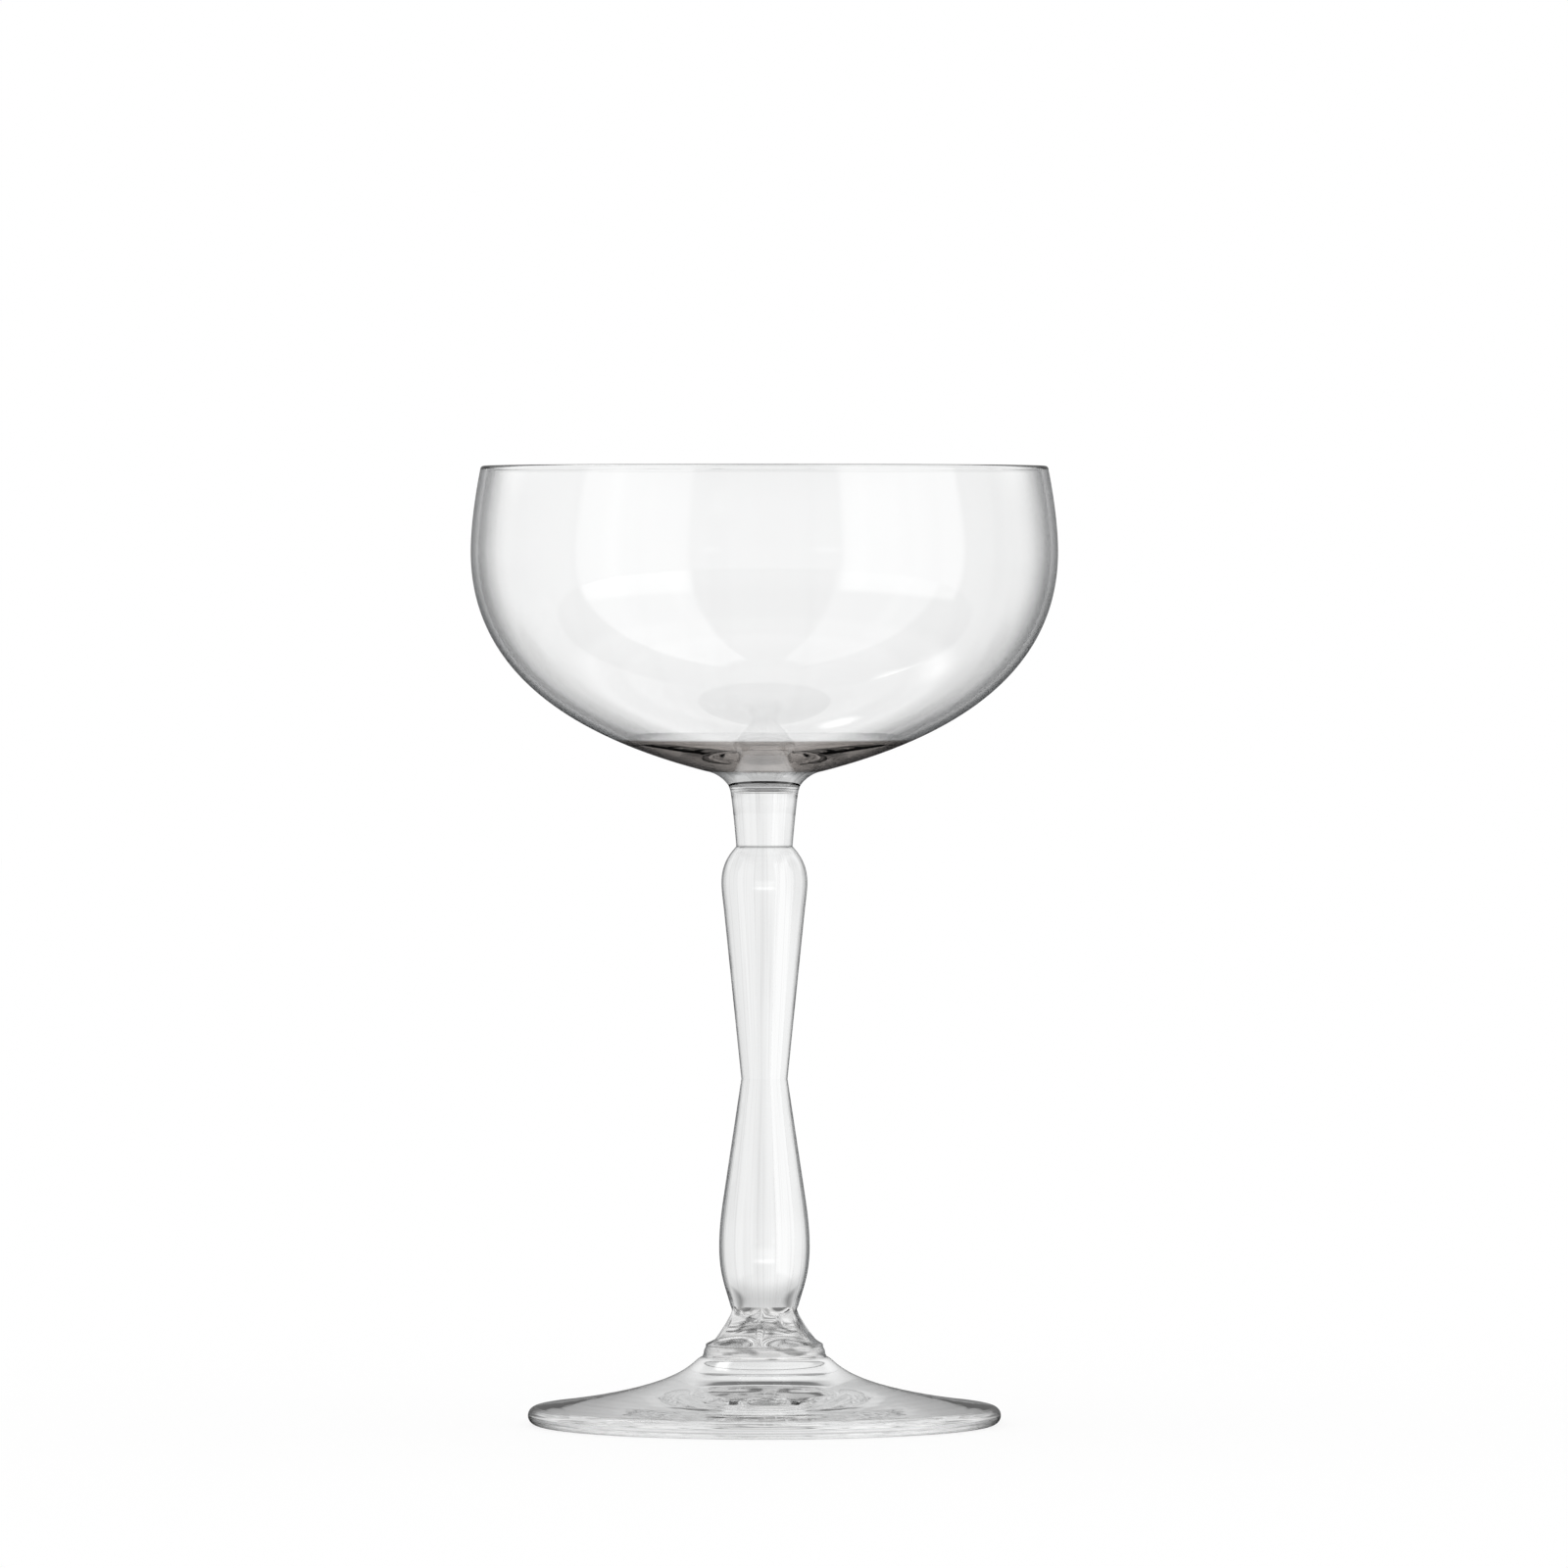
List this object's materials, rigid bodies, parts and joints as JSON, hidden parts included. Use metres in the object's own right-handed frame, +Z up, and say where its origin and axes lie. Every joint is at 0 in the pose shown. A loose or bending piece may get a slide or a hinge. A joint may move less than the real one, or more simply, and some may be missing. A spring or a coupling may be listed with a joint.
{
  "type": "coupe glass",
  "caption": "Clear stemmed coupe for sparkling wine or cocktails, with a shallow rounded bowl, a waisted baluster stem, a small fluted skirt and a round foot.",
  "frame": {"origin": "centre of the plane that the foot rests on, on the axis of the glass", "axes": "+Z up along the axis to the rim; +X to the right as pictured; +Y away from the viewer"},
  "size_m": [0.098, 0.098, 0.16],
  "materials": {
    "bowl_glass": "thin clear glass, polished by fire, with slight upright waviness in the wall",
    "stem_glass": "thick clear glass with faint drawn streaks along the stem and a few tiny seeds",
    "foot_glass": "clear glass with faint round ripples from shaping and a polished edge"
  },
  "bodies": {
    "root": {"bowl": "bowl_glass", "bowl_collar": "stem_glass", "stem_neck": "stem_glass", "upper_baluster": "stem_glass", "lower_baluster": "stem_glass", "fluted_skirt": "stem_glass", "ring_collar": "stem_glass", "foot": "foot_glass"}
  },
  "joints": []
}
